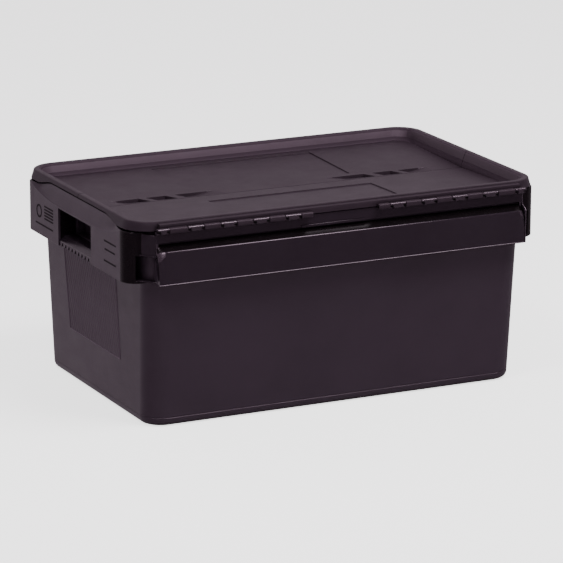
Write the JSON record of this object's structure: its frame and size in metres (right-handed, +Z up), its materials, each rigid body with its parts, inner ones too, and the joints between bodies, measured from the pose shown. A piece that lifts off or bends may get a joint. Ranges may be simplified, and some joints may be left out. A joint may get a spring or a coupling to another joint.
{
  "type": "attached lid container",
  "caption": "Dark grey attached lid tote: tapered tub with hand-hold skirts and two hinged lid halves that meet over its middle",
  "frame": {"origin": "centre of the footprint, on the ground", "axes": "+X along the length, +Y from the front long side to the back, +Z up"},
  "size_m": [0.6, 0.4, 0.2782],
  "materials": {
    "tub_plastic": "satin injection moulded polypropylene",
    "front_lid_plastic": "satin injection moulded polypropylene",
    "back_lid_plastic": "satin injection moulded polypropylene",
    "front_left_rod_steel": "blackened wire",
    "front_right_rod_steel": "blackened wire",
    "back_left_rod_steel": "blackened wire",
    "back_right_rod_steel": "blackened wire"
  },
  "bodies": {
    "tub": {"tub": "tub_plastic", "front_left_rod": "front_left_rod_steel", "front_right_rod": "front_right_rod_steel", "back_left_rod": "back_left_rod_steel", "back_right_rod": "back_right_rod_steel"},
    "front_lid": {"front_lid": "front_lid_plastic"},
    "back_lid": {"back_lid": "back_lid_plastic"}
  },
  "joints": [
    {"name": "front_lid_hinge", "type": "hinge", "parent": "tub", "child": "front_lid", "pos_m": [0, -0.1943, 0.2677], "axis": [1, 0, 0], "range_deg": [0, 230]},
    {"name": "back_lid_hinge", "type": "hinge", "parent": "tub", "child": "back_lid", "pos_m": [0, 0.1943, 0.2677], "axis": [-1, 0, 0], "range_deg": [0, 230]}
  ]
}
